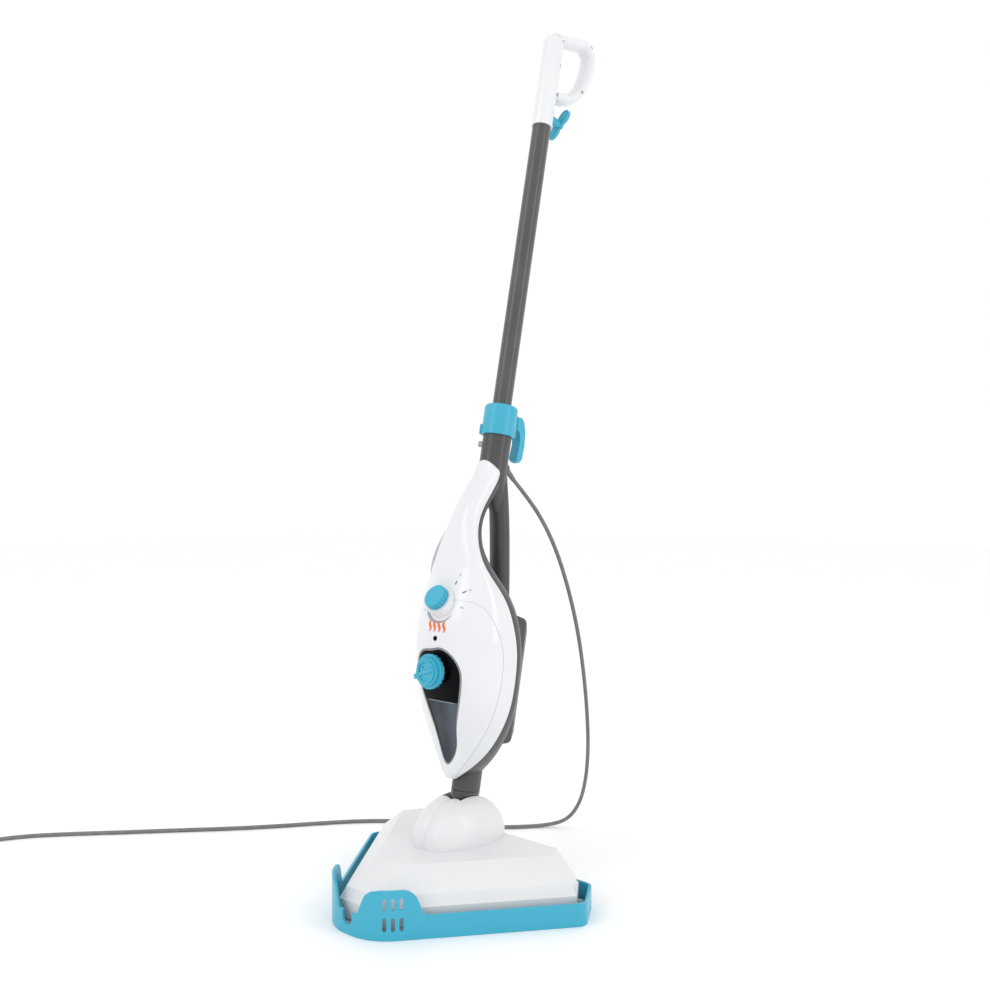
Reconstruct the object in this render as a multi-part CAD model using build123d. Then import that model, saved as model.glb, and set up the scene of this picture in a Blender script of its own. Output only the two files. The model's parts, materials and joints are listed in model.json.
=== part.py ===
from build123d import *
import math
import os

os.makedirs("parts", exist_ok=True)

# Upright steam mop: a triangular glider head, a tilting neck, a body with tank and boiler,
# a steel pole and a D handle. Millimetres, +Z up, the head's tip towards -Y.
# The body, pole and handle are drawn upright about the pole's axis, x across, y towards the
# back and z up the pole, and are then leaned back together about the X axis.

# ---- driving dimensions ----
LEAN = 11.9                 # parked lean of the pole, degrees
WALL = 2.6                  # wall of the body's shells
GAP = 0.4                   # gap between pieces that only lie beside each other
RUN = 0.05                  # radial clearance of a running fit

# glider tray
HALF_APEX = 37.2            # half of the angle at the tip, degrees
APEX_Y = -180.6             # where the side walls would meet
REAR_Y = 120.0
SIDE_END_X = 188.0          # where a side wall gives way to the corner
CORNER_REAR_X = 156.0       # where the corner meets the rear wall
NOSE_Y = -133.0             # front of the tray
NOSE_ROUND = 64.0           # rounding of the tray's tip
CORNER_ROUND = 14.0
TRAY_H = 26.5
TRAY_WALL = 3.0
TRAY_FLOOR = 2.5
GUARD_H = 56.0              # raised front walls
GUARD_END = 106.0           # distance from the untruncated tip, along the side wall
GUARD_FOOT = 126.0
SLOT_W = 4.6
SLOT_STEP = 9.6
SLOT_FIRST = 78.0
SLOT_COUNT = 3
SLOT_ROWS = [(18.0, 15.5), (40.5, 13.5)]    # middle height and length
NOTCH_R = 8.0
NOTCH_Z = 11.0

# mop pad and base
PAD_T = 6.0
BASE_T = 4.0
COVER_INSET = 13.5          # from the tray's outer line to the cover's skirt
COVER_WALL = 2.6
SKIRT_TOP = 30.5
BAND_FOOT = 15.0            # inset of the side band's foot, and of its top
BAND_INSET = 20.5
BAND_TOP = 43.0
TOP_INSET = 49.0
TOP_Z = 67.0
TOP_FRONT_Y = -66.0
TOP_REAR_DROP = 9.0
NOSE_FACET_Z = 26.0         # height of the front facet above the cover's nose

# dome and neck
PIVOT_S = 75.0              # pivot's distance up the pole's axis
NECK_T = 34.0               # neck's offset behind the pole's axis
DOME_A = 36.0
DOME_B = 64.0
DOME_C = 54.0
CHEEK_X = 10.0
NECK_HALF_X = 15.0
NECK_HALF_T = 21.5
SLOT_CLEAR = 1.6
DRUM_R = 21.0
JOINT_S = 132.8             # height of the swivel joint up the axis
NECK_TOP_S = 176.0
PIN_R = 4.0
PIN_L = 44.0
TILT_MAX = 60.0             # how far the pole lays back from its parked lean
SPIGOT_R = 10.0
SPIGOT_L = 24.0

# body
TUBE_R = 12.5
TUBE_WALL = 1.2
SLEEVE_R = 18.7
SLEEVE_TOP = 592.0
SLEEVE_FOOT = 527.0
SHELL_POWER = 2.5
HUMP_S0 = 199.0
HUMP_S1 = 357.0
HUMP_T = 80.0
HUMP_HALF_X = 41.0
HUMP_ROUND = 9.0
GRIP_HALF_X = 14.0
GRIP_HALF_T = 12.5

# controls
DIAL_S = 363.0
DIAL_R = 15.5
DIAL_H = 12.0
DIAL_STEM_R = 3.0
DIAL_GROOVES = 22
DIAL_RISE = 22.0            # how far the dial's axis points above square to the pole
DIAL_OUT = 4.5
CAP_S = 276.0
CAP_R = 20.0
CAP_RISE = -8.0
CAP_RIBS = 20
CAP_TURN = 20.0             # parked turn of the cap's wing below square across
CAP_OUT = 4.0
FILLER_R = 14.0
FILLER_TOP = 6.0
WASHER_Z = 6.1
WASHER_T = 2.0
LED_S = 316.0
LED_RISE = -4.0
BUTTON_S = 187.0
BUTTON_R = 5.0
BUTTON_L = 25.0
BUTTON_OUT = 82.0           # button's outer end, behind the pole's axis
BUTTON_TRAVEL = 3.0
SPRING_L = 4.0

# collar, pole, handle
COLLAR_S0 = 587.0
COLLAR_S1 = 628.0
COLLAR_R = 22.0
POLE_BUTTON_S = 574.0
POLE_BUTTON_R = 4.0
POLE_BUTTON_L = 14.0
POLE_BUTTON_TURN = 50.0     # round the sleeve from its front towards -X
POLE_BUTTON_TRAVEL = 3.0
TUBE_BOTTOM = 530.0
TUBE_TOP = 1054.0
HANDLE_R = 14.4
HANDLE_BOTTOM = 1024.0
HANDLE_BAR_TOP = 1146.0
LOOP_R = 8.5
LOOP_HALF_X = 12.5
HOOK_S = 1044.0
HOOK_TURN = 38.0            # parked turn of the upper hook about its stem
HOOK_SCREW_R = 1.75

# cord
CORD_D = 5.4
GLAND_R = 5.6
GLAND_L = 14.0
GLAND_DROOP = 32.0          # how far the gland points below square to the pole
GLAND_SEAT_Y = 14.0
GLAND_SEAT_S = 556.0
RELIEF_L = 19.6
RELIEF_RIBS = 4
COIL_TURN_D = 66.0          # across, at the middle of the turns
COIL_W = 27.0
COIL_H = 20.0
PLUG_L = 52.0
PLUG_W = 48.0
PLUG_H = 20.0

APEX_TAN = math.tan(math.radians(HALF_APEX))
APEX_SIN = math.sin(math.radians(HALF_APEX))
APEX_COS = math.cos(math.radians(HALF_APEX))
LEAN_LOC = Location((0, 0, 0), (-LEAN, 0, 0))

# Stations up the body: height, half width, seam's y, front's y and rear's y.
STATIONS = [
    (147.5, 6.0, 6.0, -1.0, 40.0),
    (154.0, 14.0, 8.0, -3.5, 50.0),
    (166.0, 26.0, 13.0, -6.0, 57.5),
    (184.0, 41.0, 17.5, -9.5, 61.5),
    (208.0, 54.5, 20.5, -20.0, 61.5),
    (242.0, 65.5, 22.0, -36.0, 58.0),
    (280.0, 68.0, 22.0, -52.5, 55.0),
    (315.0, 68.5, 17.0, -59.5, 51.0),
    (345.0, 66.0, 7.0, -59.0, 45.0),
    (378.0, 58.5, -10.0, -55.0, 30.0),
    (410.0, 42.5, -32.0, -52.5, 4.0),
    (440.0, 30.0, -38.5, -53.0, -17.0),
    (470.0, 22.0, -34.0, -51.0, -17.0),
    (494.0, 19.7, -24.0, -43.5, -7.0),
    (518.0, 19.3, -11.5, -31.5, 6.0),
    (540.0, 19.3, -6.0, -20.5, 14.0),
]
FRONT_TOP = (552.0, 17.5, -8.5, -19.6)
TONGUE_S = 528.0            # where the front's top starts to round over, and how far it reaches
TONGUE_H = 23.0
# Line of the panel's groove in side view: y and height.
PANEL_LINE = [(-78, 366), (-48, 366), (-36, 360), (-25, 347), (-13, 327), (-5, 309), (-1.5, 290),
              (-0.5, 268), (-1, 234), (0, 198), (0.8, 164), (0.8, 140)]
GROOVE_W = 1.3
GROOVE_DEEP = 0.6


def side_point(along, inset=0.0):
    """Point on the +X side wall's line, at a distance from the untruncated tip."""
    x = along * APEX_SIN - inset * APEX_COS
    y = APEX_Y + along * APEX_COS + inset * APEX_SIN
    return x, y


def head_outline(inset, nose_y=None, rear_y=None):
    """Head's six-cornered outline, drawn in from the tray's outer line."""
    tip_y = APEX_Y + inset / APEX_SIN
    nose = NOSE_Y + inset if nose_y is None else nose_y
    rear = REAR_Y - inset if rear_y is None else rear_y
    nose_x = (nose - tip_y) * APEX_TAN
    end_x = SIDE_END_X - inset * 1.15
    end_y = tip_y + end_x / APEX_TAN
    rear_x = CORNER_REAR_X - inset * 0.75
    right = [(nose_x, nose), (end_x, end_y), (rear_x, rear)]
    left = [(-x, y) for x, y in reversed(right)]
    return right + left


def prism(points, low, high):
    """Upright prism on an outline."""
    face = make_face(Polyline(*points, close=True).edges())
    return extrude(face, amount=high - low).moved(Location((0, 0, low)))


def rounded_prism(inset, low, high, radius, nose_round):
    """Upright prism on the head's outline, rounded at the rear corners and fully at the nose."""
    body = prism(head_outline(inset), low, high)
    upright = body.edges().filter_by(Axis.Z)
    body = fillet(upright.filter_by(lambda edge: edge.center().Y > NOSE_Y / 2), radius)
    upright = body.edges().filter_by(Axis.Z)
    return fillet(upright.filter_by(lambda edge: edge.center().Y < NOSE_Y / 2), nose_round)


def save(name, shape):
    """Write one node and report its volume."""
    export_step(shape, "parts/" + name + ".step")
    print(name, round(shape.volume, 1))


def lean(shape):
    """Lean a piece of the upright assembly back with the pole."""
    return LEAN_LOC * shape


SIDE_PLANE = Plane(origin=(0, APEX_Y, 0), x_dir=(APEX_SIN, APEX_COS, 0),
                   z_dir=(APEX_COS, -APEX_SIN, 0))


def both_sides(shape):
    """A piece and its mirror image across the head."""
    return shape + mirror(shape, about=Plane.YZ)


def outline_slab(plane, points, half):
    """Slab on an outline drawn in a plane, the same amount to each side of it."""
    return plane * extrude(make_face(Polyline(*points, close=True).edges()), amount=half, both=True)


def guard_walls():
    """Raised walls: along the front of each side, and sloped down round the tip to the notch."""
    ring = rounded_prism(0, 0, GUARD_H, CORNER_ROUND, NOSE_ROUND)
    ring -= rounded_prism(TRAY_WALL, -1, GUARD_H + 1, CORNER_ROUND - TRAY_WALL, NOSE_ROUND - TRAY_WALL)
    fence = [(44, 0), (44, GUARD_H), (GUARD_END - 6, GUARD_H), (GUARD_END, GUARD_H - 1.5),
             (GUARD_END + 5, GUARD_H - 5), (GUARD_END + 9, GUARD_H - 10), (GUARD_FOOT - 4, TRAY_H + 3),
             (GUARD_FOOT, TRAY_H), (GUARD_FOOT, 0)]
    tip = [(NOTCH_R, 0), (NOTCH_R, NOTCH_Z + 7), (17, 29), (22, 42), (26, 50), (32, 54.5),
           (40, GUARD_H), (110, GUARD_H), (110, 0)]
    nose_plane = Plane(origin=(0, NOSE_Y, 0), x_dir=(1, 0, 0), z_dir=(0, -1, 0))
    fenced = ring & both_sides(outline_slab(SIDE_PLANE, fence, 18))
    return fenced & both_sides(outline_slab(nose_plane, tip, 80))


def guard_slots():
    """Two rows of upright slots through each raised wall."""
    slots = None
    for i in range(SLOT_COUNT):
        for z_mid, height in SLOT_ROWS:
            cut = extrude(SlotOverall(height, SLOT_W, rotation=90), amount=8, both=True)
            cut = SIDE_PLANE * Pos(SLOT_FIRST + i * SLOT_STEP, z_mid, 0) * cut
            slots = cut if slots is None else slots + cut
    return both_sides(slots)


def floor_slots():
    """Steam openings in the tray's floor, shorter towards the sides."""
    slots = None
    for i in range(-3, 4):
        cut = extrude(SlotOverall(70 - 12 * abs(i), 8, rotation=90), amount=8, both=True)
        cut = Pos(i * 34, 62, TRAY_FLOOR) * cut
        slots = cut if slots is None else slots + cut
    return slots


def tip_notch():
    """U-shaped notch in the tray's tip."""
    low = Cylinder(NOTCH_R, 40, rotation=(90, 0, 0)).moved(Location((0, NOSE_Y, NOTCH_Z + NOTCH_R)))
    high = Box(2 * NOTCH_R, 40, 60, align=(Align.CENTER, Align.CENTER, Align.MIN))
    return low + high.moved(Location((0, NOSE_Y, NOTCH_Z + NOTCH_R)))


def glider_tray():
    """Blue tray: floor, low walls, raised slotted front walls and an open tip."""
    outer = rounded_prism(0, 0, TRAY_H, CORNER_ROUND, NOSE_ROUND)
    inner = rounded_prism(TRAY_WALL, TRAY_FLOOR, TRAY_H + 1, CORNER_ROUND - TRAY_WALL, NOSE_ROUND - TRAY_WALL)
    return (outer - inner) + guard_walls() - guard_slots() - floor_slots() - tip_notch()


def mop_pad():
    """Washable pad that lies between the tray's floor and the base plate."""
    z = TRAY_FLOOR + GAP
    return rounded_prism(TRAY_WALL + 3.0, z, z + PAD_T, 8, NOSE_ROUND - TRAY_WALL - 3.0)


BASE_Z = TRAY_FLOOR + GAP + PAD_T + GAP


def head_base():
    """Base plate that carries the pad, the diffuser and the cover."""
    plate = rounded_prism(COVER_INSET + COVER_WALL + GAP, BASE_Z, BASE_Z + BASE_T, 6, 6)
    for x, y in SCREW_POINTS:
        plate += Cylinder(5, 14).moved(Location((x, y, BASE_Z + 7)))
        plate -= Cylinder(1.6, 40).moved(Location((x, y, BASE_Z)))
    plate -= Cylinder(9, 30).moved(Location((0, PIVOT_Y - 40, BASE_Z)))
    return plate


SCREW_POINTS = [(-110, 78), (110, 78), (-40, -50), (40, -50)]
PIVOT_Y = PIVOT_S * math.sin(math.radians(LEAN)) + NECK_T * math.cos(math.radians(LEAN))
PIVOT_Z = PIVOT_S * math.cos(math.radians(LEAN)) - NECK_T * math.sin(math.radians(LEAN))


def base_screws():
    """Four screws up through the base plate, as one group."""
    group = []
    for x, y in SCREW_POINTS:
        shank = Cylinder(1.6, 14).moved(Location((x, y, BASE_Z + 8)))
        group.append(shank)
    return Compound(children=group)


def cover_solid(grow):
    """Faceted cover without its dome, drawn in by a wall when grow is negative."""
    skirt = prism(head_outline(COVER_INSET - grow), BASE_Z, SKIRT_TOP + grow)
    foot_z = SKIRT_TOP + min(grow, 0)
    foot_line = head_outline(BAND_FOOT - grow)
    band_line = head_outline(BAND_INSET - grow, rear_y=REAR_Y - BAND_FOOT - 3 + grow)
    top_line = head_outline(TOP_INSET - grow, nose_y=TOP_FRONT_Y - grow,
                            rear_y=REAR_Y - COVER_INSET - TOP_REAR_DROP + grow)
    levels = []
    for line, z in ((foot_line, foot_z), (band_line, BAND_TOP + grow / 2), (top_line, TOP_Z + grow)):
        levels.append(make_face(Polyline(*line, close=True).edges()).moved(Location((0, 0, z))))
    body = skirt + loft(levels[:2], ruled=True) + loft(levels[1:], ruled=True)
    nose = NOSE_Y + COVER_INSET - grow
    facet = Polyline((nose - 1, NOSE_FACET_Z + grow), (nose, NOSE_FACET_Z + grow),
                     (TOP_FRONT_Y - grow, TOP_Z + grow), (TOP_FRONT_Y - grow, TOP_Z + 60),
                     (nose - 60, TOP_Z + 60), (nose - 60, NOSE_FACET_Z + grow), close=True)
    cut = extrude(make_face(facet.edges()), amount=220, both=True)
    cut = Location((0, 0, 0), (90, 0, 90)) * cut
    return body - cut


def dome_solid(grow):
    """Two round cheeks, side by side, about the pivot."""
    shape = None
    for side in (1, -1):
        ball = scale(Sphere(1), by=(DOME_A + grow, DOME_B + grow, DOME_C + grow))
        ball = ball.moved(Location((side * CHEEK_X, PIVOT_Y, PIVOT_Z)))
        shape = ball if shape is None else shape + ball
    return shape & Box(400, 400, 200, align=(Align.CENTER, Align.CENTER, Align.MIN)).moved(
        Location((0, 0, BASE_Z)))


def neck_slot():
    """Space in the dome through which the neck swings back."""
    half = NECK_HALF_X + SLOT_CLEAR
    reach = NECK_HALF_T + 3.0
    front = Location((0, PIVOT_Y, PIVOT_Z), (-LEAN, 0, 0)) * Box(
        2 * half, 2 * reach, 90, align=(Align.CENTER, Align.CENTER, Align.MIN))
    back = Location((0, PIVOT_Y, PIVOT_Z), (-LEAN - TILT_MAX, 0, 0)) * Box(
        2 * half, 2 * reach, 150, align=(Align.CENTER, Align.CENTER, Align.MIN))
    middle = Location((0, PIVOT_Y, PIVOT_Z), (-LEAN - TILT_MAX / 2, 0, 0)) * Box(
        2 * half, 2 * reach + 20, 120, align=(Align.CENTER, Align.CENTER, Align.MIN))
    drum = Cylinder(DRUM_R + 3.5, 2 * half, rotation=(0, 90, 0)).moved(
        Location((0, PIVOT_Y, PIVOT_Z)))
    return front + back + middle + drum


def swivel_relief():
    """Room behind the dome for the turned neck when the pole is laid back."""
    half = NECK_HALF_T + 2.5
    band = Cylinder(120, 2 * half, rotation=(0, 90, 0)) - Cylinder(
        JOINT_S - PIVOT_S - 2.5, 2 * half + 2, rotation=(0, 90, 0))
    back = Box(2 * half + 2, 130, 130, align=(Align.CENTER, Align.MIN, Align.MIN)).moved(
        Location((0, 18, -18)))
    return (band & back).moved(Location((0, PIVOT_Y, PIVOT_Z)))


def slot_walls():
    """Side walls of the neck's slot, inside the dome."""
    wall = Box(COVER_WALL, 300, 300).moved(
        Location((NECK_HALF_X + SLOT_CLEAR + COVER_WALL / 2, PIVOT_Y, PIVOT_Z)))
    return dome_solid(-0.5) & both_sides(wall)


def pin_bosses():
    """Bosses inside the dome that hold the ends of the pivot pin."""
    boss = Cylinder(PIN_R + 5, 6, rotation=(0, 90, 0))
    return both_sides(boss.moved(Location((PIN_L / 2 - 1.5, PIVOT_Y, PIVOT_Z))))


def head_cover():
    """White faceted cover with its dome, hollow, open below and slotted for the neck."""
    outer = cover_solid(0) + dome_solid(0)
    inner = cover_solid(-COVER_WALL) + dome_solid(-COVER_WALL - 1.0)
    floor = prism(head_outline(COVER_INSET + COVER_WALL), BASE_Z - 1, BASE_Z + 6)
    shell = outer - inner - floor
    shell = shell + slot_walls() + pin_bosses()
    shell = shell - neck_slot() - swivel_relief()
    shell -= Cylinder(PIN_R, PIN_L, rotation=(0, 90, 0)).moved(Location((0, PIVOT_Y, PIVOT_Z)))
    return shell


def neck_frame(shape):
    """Place a piece drawn about the neck's axis, with its origin at the pivot."""
    return LEAN_LOC * Location((0, NECK_T, PIVOT_S)) * shape


def neck_section(low, high, grow=0.0):
    """Straight stretch of the neck's oval section."""
    face = scale(Circle(1), by=(NECK_HALF_X + grow, NECK_HALF_T + grow, 1))
    return extrude(face, amount=high - low).moved(Location((0, 0, low)))


JOINT_H = JOINT_S - PIVOT_S


def neck_yoke():
    """Lower neck and its drum, which tilts on the pivot pin in the dome."""
    drum = Cylinder(DRUM_R, 2 * NECK_HALF_X, rotation=(0, 90, 0))
    drum = drum + neck_section(0, JOINT_H - 0.3)
    drum -= Cylinder(PIN_R + RUN, 100, rotation=(0, 90, 0))
    drum -= Cylinder(SPIGOT_R + RUN, 60, align=(Align.CENTER, Align.CENTER, Align.MIN)).moved(
        Location((0, 0, JOINT_H - SPIGOT_L)))
    drum -= Cylinder(5, 60, align=(Align.CENTER, Align.CENTER, Align.MIN)).moved(Location((0, 0, 8)))
    return neck_frame(drum)


def pivot_pin():
    """Steel pin through both cheeks of the dome and the drum."""
    pin = Cylinder(PIN_R, PIN_L, rotation=(0, 90, 0))
    return pin.moved(Location((0, PIVOT_Y, PIVOT_Z)))


def swivel_spigot():
    """Hollow spigot of the swivel joint, fixed in the body's neck."""
    low = JOINT_H - SPIGOT_L + 1
    spigot = Cylinder(SPIGOT_R, SPIGOT_L + 20, align=(Align.CENTER, Align.CENTER, Align.MIN))
    bore = Cylinder(4, 200)
    spigot = spigot.moved(Location((0, 0, low))) - bore
    groove = Cylinder(SPIGOT_R + 1, 3) - Cylinder(SPIGOT_R - 1.6, 3)
    return neck_frame(spigot - groove.moved(Location((0, 0, JOINT_H - 14))))


def swivel_seal():
    """Rubber ring in the spigot's groove."""
    ring = Torus(SPIGOT_R - 0.9, 0.7).moved(Location((0, 0, JOINT_H - 14)))
    return neck_frame(ring)


def steam_hose():
    """Silicone hose from the drum down to the diffuser."""
    path = FilletPolyline((0, PIVOT_Y, PIVOT_Z - DRUM_R - 4.5), (0, PIVOT_Y - 2, BASE_Z + 22),
                          (0, PIVOT_Y - 38, BASE_Z + 14), (0, PIVOT_Y - 40, BASE_Z + BASE_T + 1), radius=6)
    return sweep(Plane(path @ 0, z_dir=path % 0) * Circle(3), path=path)


def steam_diffuser():
    """Steam plate in the base, above the pad."""
    plate = Cylinder(8.7, BASE_T).moved(Location((0, PIVOT_Y - 40, BASE_Z + BASE_T / 2)))
    for i in range(6):
        hole = Cylinder(1, 20).moved(Location((5 * math.cos(i * math.pi / 3),
                                               PIVOT_Y - 40 + 5 * math.sin(i * math.pi / 3), BASE_Z)))
        plate -= hole
    return plate


def half_section(s, half_x, seam, tip, power):
    """Half of a rounded section: from the seam to the tip, which may lie in front or behind."""
    depth = tip - seam
    points = []
    for i in range(13):
        angle = math.pi * i / 12
        c = math.cos(angle)
        x = half_x * math.copysign(abs(c) ** (2 / power), c)
        y = seam + depth * math.sin(angle) ** (2 / power)
        points.append((x, y, s))
    arch = Spline(*points, tangents=[(0, depth, 0), (0, -depth, 0)])
    base = Line(points[-1], points[0])
    return make_face(Wire([arch.edge(), base.edge()]))


def front_solid(inset=0.0):
    """Outer form of the white front, or its hollow when inset by the wall."""
    faces = []
    for s, half_x, seam, front, rear in STATIONS:
        lift = 0.4 if inset else 0.0
        faces.append(half_section(s, max(half_x - inset, 1.2), seam + lift,
                                  min(front + inset, seam - 1.2), SHELL_POWER))
    s, half_x, seam, front = FRONT_TOP
    faces.append(half_section(s, half_x - inset, seam, min(front + inset, seam - 1.0), SHELL_POWER))
    return loft(faces)


def rear_solid(inset=0.0):
    """Outer form of the charcoal rear, or its hollow when inset by the wall."""
    faces = []
    for s, half_x, seam, front, rear in STATIONS:
        start = seam - 2.0 if inset > 0 else seam + GAP / 2
        tip = max(rear - inset, start + 1.5)
        faces.append(half_section(s, max(half_x - 0.6 - inset, 1.2), start, tip, 2.3))
    return loft(faces)


def slab(low, high):
    """Broad slab between two heights up the pole."""
    return Box(300, 300, high - low, align=(Align.CENTER, Align.CENTER, Align.MIN)).moved(
        Location((0, 0, low)))


def front_form():
    """Front shell before its openings."""
    form = front_solid() & tongue_mask()
    return form - (front_solid(WALL) & slab(155, 540)) - sleeve_space()


def tongue_mask():
    """Front view's limit of the white front, which ends at the top in a rounded tongue."""
    mask = slab(100, TONGUE_S)
    tongue = scale(Cylinder(1, 300, rotation=(90, 0, 0)), by=(20.5, 1, TONGUE_H))
    return mask + tongue.moved(Location((0, 0, TONGUE_S)))


def panel_groove():
    """Shallow groove round the raised lower panel, drawn in side view."""
    outer = [(y, s) for y, s in PANEL_LINE]
    inner = [(y - GROOVE_W * 0.5, s - GROOVE_W * 0.87) for y, s in reversed(PANEL_LINE)]
    band = extrude(Plane.YZ * make_face(Polyline(*outer, *inner, close=True).edges()), amount=90, both=True)
    return (band & front_solid(-0.5)) - front_solid(GROOVE_DEEP)


def sleeve_space():
    """Space that the neck sleeve takes behind the front shell's top."""
    return Cylinder(SLEEVE_R + GAP / 2, 120, align=(Align.CENTER, Align.CENTER, Align.MIN)).moved(
        Location((0, 0, 515)))


WINDOW = [(0, 304), (25, 299.5), (36.5, 284), (36, 262), (28.5, 236), (19.5, 208), (11.5, 177), (0, 164.5)]


def window_outline(grow):
    """Teardrop outline of the tank's window, pointed downwards."""
    right = []
    for i, (x, s) in enumerate(WINDOW):
        toward = math.atan2(s - 262, x) if x else (math.pi / 2 if s > 262 else -math.pi / 2)
        right.append((x + grow * math.cos(toward) if x else 0, s + grow * math.sin(toward)))
    left = [(-x, s) for x, s in reversed(right[1:-1])]
    curve = Spline(*right, *left, periodic=True)
    return make_face(curve.edges())


def window_prism(grow):
    """Window's outline carried from the front through the front shell."""
    return extrude(Location((0, 0, 0), (90, 0, 0)) * window_outline(grow), amount=90)


def front_y(s):
    """Front surface's y at a height, between the stations."""
    for low, high in zip(STATIONS, STATIONS[1:]):
        if low[0] <= s <= high[0]:
            share = (s - low[0]) / (high[0] - low[0])
            return low[3] + share * (high[3] - low[3])
    return FRONT_TOP[3]


def surface_frame(s, rise, out):
    """Location at a height on the front, its own z pointing forwards and up by a rise."""
    return Location((0, front_y(s) - out, s), (90 - rise, 0, 0))


def dial_frame():
    """Location of the steam dial's seat."""
    return surface_frame(DIAL_S, DIAL_RISE, DIAL_OUT)


def cap_frame():
    """Location of the filler cap's seat."""
    return surface_frame(CAP_S, CAP_RISE, CAP_OUT)


def lamp_frame():
    """Location of the ready lamp, square to the front surface."""
    return surface_frame(LED_S, LED_RISE, 0)


def front_shell():
    """White front shell with its window, dial and lamp openings."""
    shell = front_form() - window_prism(GAP) - panel_groove()
    shell -= dial_frame() * Cylinder(DIAL_STEM_R + 1.0, 40)
    shell -= lamp_frame() * Cylinder(3.2, 30)
    return shell


def window_layer(out, deep, outline, low, high):
    """Layer that follows the front surface inside an outline, between two depths below it."""
    return ((front_solid(out) & outline) & slab(low, high)) - front_solid(deep)


def window_bezel():
    """Thin grey rim round the window."""
    ring = window_prism(0) - window_prism(-2.2)
    return window_layer(0.4, 3.6, ring, 156, 312)


def window_top():
    """Black upper panel that carries the filler."""
    panel = window_layer(1.4, 3.4, window_prism(-2.3), 242, 312)
    hole = cap_frame() * Cylinder(FILLER_R + 1.4, 40)
    return panel - hole


def window_lens():
    """Smoked clear lower panel that shows the water level."""
    return window_layer(1.4, 3.4, window_prism(-2.3), 156, 241.6)


def water_tank():
    """Clear tank behind the window, with its filler neck."""
    block = front_solid(4.2) & slab(168, 308)
    front_part = Box(200, 200, 400).moved(Location((0, -100 - 4, 240)))
    block = block & front_part
    hollow = (front_solid(6.2) & slab(171, 305)) & Box(200, 200, 400).moved(Location((0, -106, 240)))
    neck = Cylinder(FILLER_R, 20, align=(Align.CENTER, Align.CENTER, Align.MAX))
    neck = cap_frame() * neck.moved(Location((0, 0, FILLER_TOP)))
    bore = cap_frame() * Cylinder(FILLER_R - 2.2, 60)
    return (block + neck) - hollow - bore


def tank_cap():
    """Blue filler cap: skirt, stepped crown, wing tab and vent."""
    skirt = Cylinder(CAP_R, 7, align=(Align.CENTER, Align.CENTER, Align.MIN)).moved(Location((0, 0, 1.0)))
    crown = Cylinder(CAP_R - 2.5, 4, align=(Align.CENTER, Align.CENTER, Align.MIN)).moved(Location((0, 0, 8)))
    flange = Cylinder(CAP_R + 1.5, 2.4, align=(Align.CENTER, Align.CENTER, Align.MIN)).moved(
        Location((0, 0, 5.6)))
    tab = Box(7, 6, 2.4, align=(Align.CENTER, Align.CENTER, Align.MIN)).moved(
        Location((-CAP_R - 3.5, 0, 5.6)))
    tab += Box(11, 11, 2.4, align=(Align.CENTER, Align.CENTER, Align.MIN)).moved(Location((-CAP_R + 3, 0, 5.6)))
    rim = Cylinder(CAP_R - 5.5, 1.5, align=(Align.CENTER, Align.CENTER, Align.MIN)) - Cylinder(CAP_R - 7.5, 9)
    bar = Box(2 * CAP_R - 16, 4.5, 1.5, align=(Align.CENTER, Align.CENTER, Align.MIN)).moved(
        Location((0, 0, 12)))
    for i in range(CAP_RIBS):
        angle = i * 360 / CAP_RIBS
        rib = Box(2.2, 1.8, 6.4, align=(Align.CENTER, Align.CENTER, Align.MIN)).moved(Location((CAP_R, 0, 1.0)))
        skirt += rib.rotate(Axis.Z, angle)
    cap = skirt + crown + flange + (tab + bar).rotate(Axis.Z, CAP_TURN) + rim.moved(Location((0, 0, 12)))
    cap -= Cylinder(FILLER_R + RUN, 12, align=(Align.CENTER, Align.CENTER, Align.MAX)).moved(
        Location((0, 0, WASHER_Z + WASHER_T + 0.1)))
    cap -= Cylinder(1.0, 40).moved(Location((-6, 5, 0)))
    return cap_frame() * cap


def cap_seal():
    """Rubber washer under the cap's crown."""
    ring = Cylinder(FILLER_R - 0.3, WASHER_T, align=(Align.CENTER, Align.CENTER, Align.MIN))
    return cap_frame() * ring.moved(Location((0, 0, WASHER_Z)))


def dial_ring():
    """White raised seat under the dial, which carries its scale."""
    ring = Cylinder(DIAL_R + 4.0, 16, align=(Align.CENTER, Align.CENTER, Align.MAX))
    ring = ring - Cylinder(DIAL_STEM_R + 1.0, 40)
    return dial_frame() * ring.moved(Location((0, 0, 3.0))) - front_solid(-GAP / 2)


def steam_dial():
    """Blue steam dial with a ribbed rim and its stem."""
    knob = Cylinder(DIAL_R, DIAL_H - 3.4, align=(Align.CENTER, Align.CENTER, Align.MIN)).moved(
        Location((0, 0, 3.4)))
    knob = chamfer(knob.edges().sort_by(Axis.Z)[-1], 1.0)
    for i in range(DIAL_GROOVES):
        angle = i * 360 / DIAL_GROOVES
        groove = Cylinder(1.0, 30).moved(Location((DIAL_R * math.cos(math.radians(angle)),
                                                   DIAL_R * math.sin(math.radians(angle)), 0)))
        knob -= groove
    stem = Cylinder(DIAL_STEM_R, 26, align=(Align.CENTER, Align.CENTER, Align.MAX)).moved(
        Location((0, 0, 3.4)))
    return dial_frame() * (knob + stem)


def led_lens():
    """Small ready lamp with its dark collar."""
    lamp = Cylinder(2.9, 6, align=(Align.CENTER, Align.CENTER, Align.MAX))
    return lamp_frame() * lamp.moved(Location((0, 0, 0.7)))


GRIP_PATH = [(560, 4), (530, 12), (500, 21), (460, 31), (420, 39.5), (380, 47), (340, 50)]


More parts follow.
